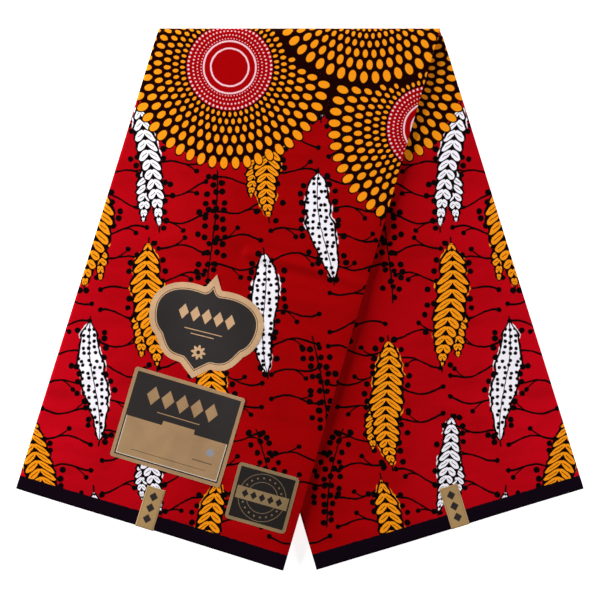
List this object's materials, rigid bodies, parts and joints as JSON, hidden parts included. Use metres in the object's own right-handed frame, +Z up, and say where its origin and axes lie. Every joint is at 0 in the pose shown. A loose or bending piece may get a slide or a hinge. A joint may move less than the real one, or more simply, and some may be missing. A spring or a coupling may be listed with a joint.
{
  "type": "folded wax print fabric",
  "caption": "Printed cotton dress cloth folded to and fro into a flat layered band and doubled over on a slant, its legs splayed and crossing, with selvedge hems, paper labels and hem tabs.",
  "frame": {"origin": "on the surface that the cloth lies on, below the middle of the whole shape", "axes": "+Z up from the surface, +Y towards the top fold, +X to the right when the top fold is at the top"},
  "size_m": [0.6192, 0.5908, 0.0194],
  "materials": {
    "cloth_face": "smooth printed cotton",
    "cloth_layers": "smooth printed cotton",
    "label_paper": "coated paper",
    "tab_paper": "coated paper"
  },
  "bodies": {
    "root": {"under_leg_layers": "cloth_layers", "under_leg_face": "cloth_face", "upper_leg_layers": "cloth_layers", "upper_leg_face": "cloth_face", "top_fold_layers": "cloth_layers", "top_fold_face": "cloth_face", "label_badge": "label_paper", "label_card": "label_paper", "label_seal": "label_paper", "tab_upper_hem": "tab_paper", "tab_under_hem": "tab_paper"}
  },
  "joints": []
}
